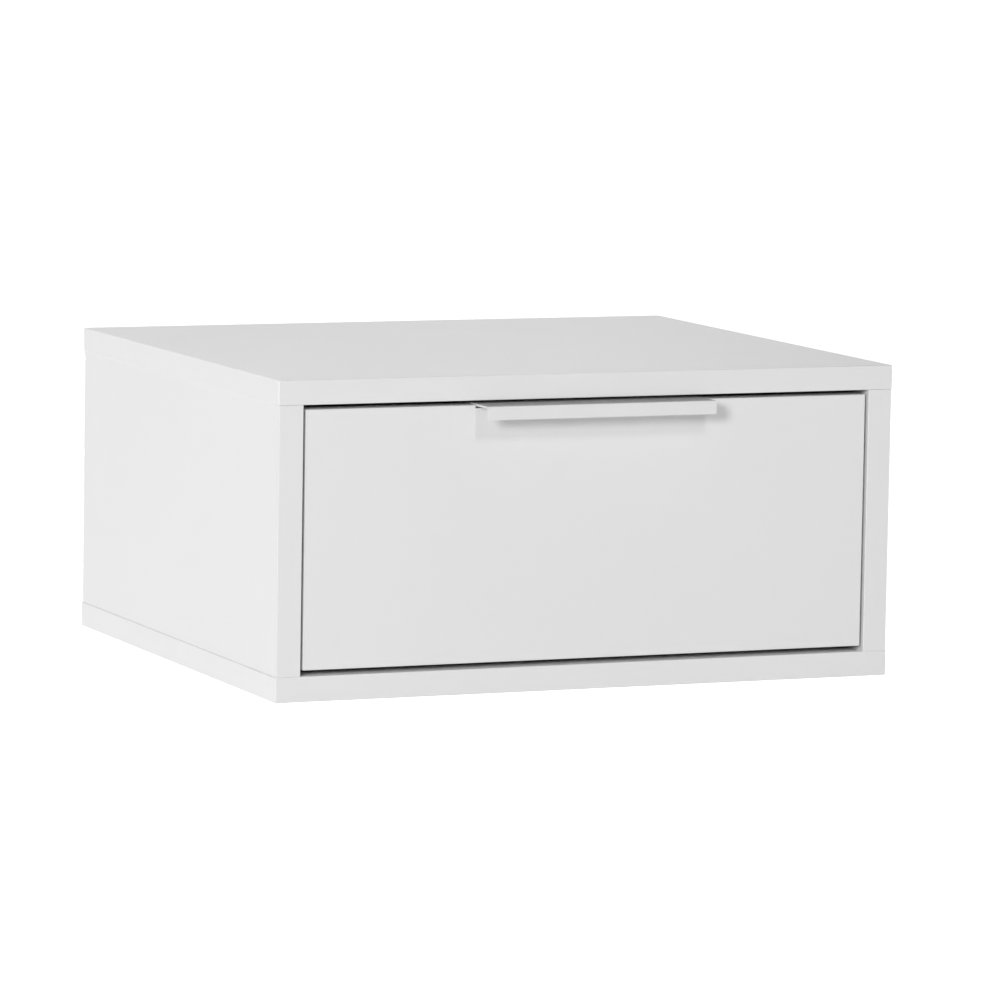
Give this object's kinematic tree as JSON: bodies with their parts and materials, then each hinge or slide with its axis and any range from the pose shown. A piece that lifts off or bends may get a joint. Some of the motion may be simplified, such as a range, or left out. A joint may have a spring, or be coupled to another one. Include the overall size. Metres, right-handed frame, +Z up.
{
  "type": "floating nightstand",
  "caption": "White wall-hung nightstand: flat panel box with an inset drawer on telescopic ball runners and a slim edge pull centred on the top edge of its front.",
  "frame": {"origin": "on the wall plane, at the centre of the hanging rail's rear face, midway across the width", "axes": "+X to the right seen from the front, +Y into the wall, +Z up; the drawer front faces -Y and opens along -Y"},
  "size_m": [0.42, 0.38, 0.2],
  "materials": {
    "white_melamine": "particleboard faced with matt white melamine, with matching edge band",
    "drawer_board": "particleboard wrapped in matt white foil",
    "white_hardboard": "white-lacquered hardboard",
    "white_powder_coat": "white powder coat on aluminium, satin",
    "zinc_plated_steel": "bright zinc-plated steel",
    "ball_steel": "polished steel balls in a plain steel strip",
    "stop_rubber": "dark grey rubber",
    "cast_zinc": "die-cast zinc"
  },
  "bodies": {
    "carcass": {"top_board": "white_melamine", "bottom_board": "white_melamine", "left_side": "white_melamine", "right_side": "white_melamine", "hanging_rail": "white_melamine", "back_panel": "white_hardboard", "cam_left_top_front": "cast_zinc", "cam_bolt_left_top_front": "zinc_plated_steel", "cam_left_top_rear": "cast_zinc", "cam_bolt_left_top_rear": "zinc_plated_steel", "cam_left_bottom_front": "cast_zinc", "cam_bolt_left_bottom_front": "zinc_plated_steel", "cam_left_bottom_rear": "cast_zinc", "cam_bolt_left_bottom_rear": "zinc_plated_steel", "cam_left_rail": "cast_zinc", "cam_bolt_left_rail": "zinc_plated_steel", "runner_cabinet_member_left": "zinc_plated_steel", "runner_stop_left": "stop_rubber", "cabinet_runner_screw_left_front": "zinc_plated_steel", "cabinet_runner_screw_left_rear": "zinc_plated_steel", "cam_right_top_front": "cast_zinc", "cam_bolt_right_top_front": "zinc_plated_steel", "cam_right_top_rear": "cast_zinc", "cam_bolt_right_top_rear": "zinc_plated_steel", "cam_right_bottom_front": "cast_zinc", "cam_bolt_right_bottom_front": "zinc_plated_steel", "cam_right_bottom_rear": "cast_zinc", "cam_bolt_right_bottom_rear": "zinc_plated_steel", "cam_right_rail": "cast_zinc", "cam_bolt_right_rail": "zinc_plated_steel", "runner_cabinet_member_right": "zinc_plated_steel", "runner_stop_right": "stop_rubber", "cabinet_runner_screw_right_front": "zinc_plated_steel", "cabinet_runner_screw_right_rear": "zinc_plated_steel"},
    "drawer": {"drawer_front": "white_melamine", "edge_pull": "white_powder_coat", "drawer_back": "drawer_board", "drawer_floor": "white_hardboard", "drawer_side_left": "drawer_board", "cam_left_drawer": "cast_zinc", "cam_bolt_left_drawer": "zinc_plated_steel", "drawer_back_screw_left": "zinc_plated_steel", "pull_screw_left": "zinc_plated_steel", "runner_drawer_member_left": "zinc_plated_steel", "drawer_runner_screw_left_front": "zinc_plated_steel", "drawer_runner_screw_left_rear": "zinc_plated_steel", "drawer_side_right": "drawer_board", "cam_right_drawer": "cast_zinc", "cam_bolt_right_drawer": "zinc_plated_steel", "drawer_back_screw_right": "zinc_plated_steel", "pull_screw_right": "zinc_plated_steel", "runner_drawer_member_right": "zinc_plated_steel", "drawer_runner_screw_right_front": "zinc_plated_steel", "drawer_runner_screw_right_rear": "zinc_plated_steel"},
    "runner_middle_left": {"runner_middle_member_left": "zinc_plated_steel"},
    "outer_cage_left": {"ball_cage_outer_left": "ball_steel"},
    "inner_cage_left": {"ball_cage_inner_left": "ball_steel"},
    "runner_middle_right": {"runner_middle_member_right": "zinc_plated_steel"},
    "outer_cage_right": {"ball_cage_outer_right": "ball_steel"},
    "inner_cage_right": {"ball_cage_inner_right": "ball_steel"}
  },
  "joints": [
    {"name": "drawer_slide", "type": "slide", "parent": "carcass", "child": "drawer", "axis": [0, -1, 0], "range_m": [0, 0.3]},
    {"name": "runner_middle_left_slide", "type": "slide", "parent": "carcass", "child": "runner_middle_left", "axis": [0, -1, 0], "range_m": [0, 0.15]},
    {"name": "outer_cage_left_slide", "type": "slide", "parent": "carcass", "child": "outer_cage_left", "axis": [0, -1, 0], "range_m": [0, 0.075]},
    {"name": "inner_cage_left_slide", "type": "slide", "parent": "carcass", "child": "inner_cage_left", "axis": [0, -1, 0], "range_m": [0, 0.225]},
    {"name": "runner_middle_right_slide", "type": "slide", "parent": "carcass", "child": "runner_middle_right", "axis": [0, -1, 0], "range_m": [0, 0.15]},
    {"name": "outer_cage_right_slide", "type": "slide", "parent": "carcass", "child": "outer_cage_right", "axis": [0, -1, 0], "range_m": [0, 0.075]},
    {"name": "inner_cage_right_slide", "type": "slide", "parent": "carcass", "child": "inner_cage_right", "axis": [0, -1, 0], "range_m": [0, 0.225]}
  ],
  "couplings": [
    {"joint": "runner_middle_left_slide", "follows": "drawer_slide", "ratio": 0.5},
    {"joint": "outer_cage_left_slide", "follows": "drawer_slide", "ratio": 0.25},
    {"joint": "inner_cage_left_slide", "follows": "drawer_slide", "ratio": 0.75},
    {"joint": "runner_middle_right_slide", "follows": "drawer_slide", "ratio": 0.5},
    {"joint": "outer_cage_right_slide", "follows": "drawer_slide", "ratio": 0.25},
    {"joint": "inner_cage_right_slide", "follows": "drawer_slide", "ratio": 0.75}
  ]
}
